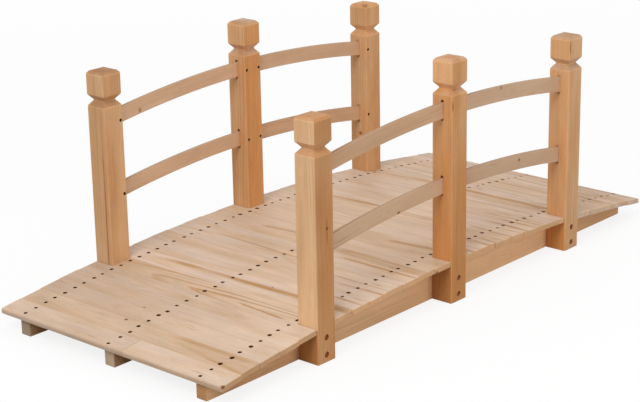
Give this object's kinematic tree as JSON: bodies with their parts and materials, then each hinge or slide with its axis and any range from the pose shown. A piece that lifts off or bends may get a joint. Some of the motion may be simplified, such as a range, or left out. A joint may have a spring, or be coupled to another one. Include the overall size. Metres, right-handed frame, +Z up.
{
  "type": "arched garden footbridge",
  "caption": "Low arched softwood garden footbridge with a planked deck on arched joists, grooved square posts and curved side slats let into mortises.",
  "frame": {"origin": "on the ground at the middle of the footprint, straight under the deck's crown", "axes": "+X along the walking direction from the near end to the far end, +Y to the left-hand railing, +Z up"},
  "size_m": [1.4982, 0.666, 0.554],
  "materials": {
    "post_wood": "planed bare softwood, warm tan with upright grain",
    "deck_wood": "planed bare softwood, pale beige with grain along each plank",
    "slat_wood": "planed bare softwood, greyish tan with grain along each slat",
    "joist_wood": "sawn bare softwood, warm brown with grain along each joist",
    "screw_steel": "dark bronze-coloured plated wood screws"
  },
  "bodies": {
    "root": {"deck_plank_01": "deck_wood", "deck_plank_02": "deck_wood", "deck_plank_03": "deck_wood", "deck_plank_04": "deck_wood", "deck_plank_05": "deck_wood", "deck_plank_06": "deck_wood", "deck_plank_07": "deck_wood", "deck_plank_08": "deck_wood", "deck_plank_09": "deck_wood", "deck_plank_10": "deck_wood", "deck_plank_11": "deck_wood", "deck_plank_12": "deck_wood", "deck_plank_13": "deck_wood", "deck_plank_14": "deck_wood", "deck_plank_15": "deck_wood", "deck_plank_16": "deck_wood", "deck_plank_17": "deck_wood", "deck_plank_18": "deck_wood", "deck_plank_19": "deck_wood", "deck_plank_20": "deck_wood", "deck_plank_21": "deck_wood", "deck_plank_22": "deck_wood", "deck_plank_23": "deck_wood", "deck_plank_24": "deck_wood", "deck_plank_25": "deck_wood", "deck_plank_26": "deck_wood", "deck_plank_27": "deck_wood", "joist_left": "joist_wood", "joist_middle": "joist_wood", "joist_right": "joist_wood", "post_near_left": "post_wood", "post_near_right": "post_wood", "post_middle_left": "post_wood", "post_middle_right": "post_wood", "post_far_left": "post_wood", "post_far_right": "post_wood", "upper_slat_near_left": "slat_wood", "upper_slat_near_right": "slat_wood", "upper_slat_far_left": "slat_wood", "upper_slat_far_right": "slat_wood", "lower_slat_near_left": "slat_wood", "lower_slat_near_right": "slat_wood", "lower_slat_far_left": "slat_wood", "lower_slat_far_right": "slat_wood"}
  },
  "joints": []
}
